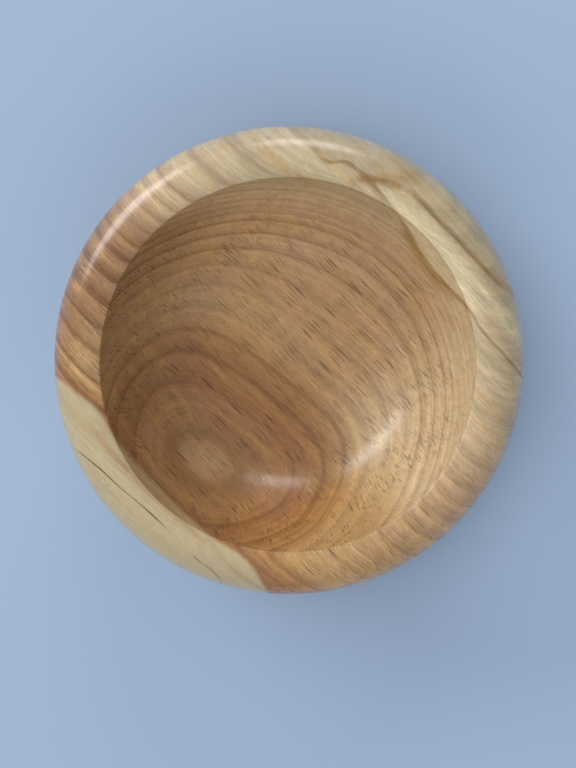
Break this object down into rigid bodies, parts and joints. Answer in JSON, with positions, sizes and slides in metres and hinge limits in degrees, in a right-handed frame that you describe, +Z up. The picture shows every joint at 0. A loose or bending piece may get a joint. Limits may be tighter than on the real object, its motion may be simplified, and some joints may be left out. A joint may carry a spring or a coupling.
{
  "type": "turned wooden bowl",
  "caption": "Small round turned wooden bowl with a broad half-round rim, a steep-sided hollow with a flat floor, and a low foot ring.",
  "frame": {"origin": "centre of the foot's resting face, on the bowl's axis", "axes": "+Z up along the bowl's axis, out of the mouth; +X along the grain of the wood; +Y across the grain"},
  "size_m": [0.152, 0.152, 0.05],
  "materials": {
    "beech": "clear semi-gloss coat on sanded beech, pink-brown heart with pale yellow sapwood at two sides"
  },
  "bodies": {
    "root": {"bowl": "beech"}
  },
  "joints": []
}
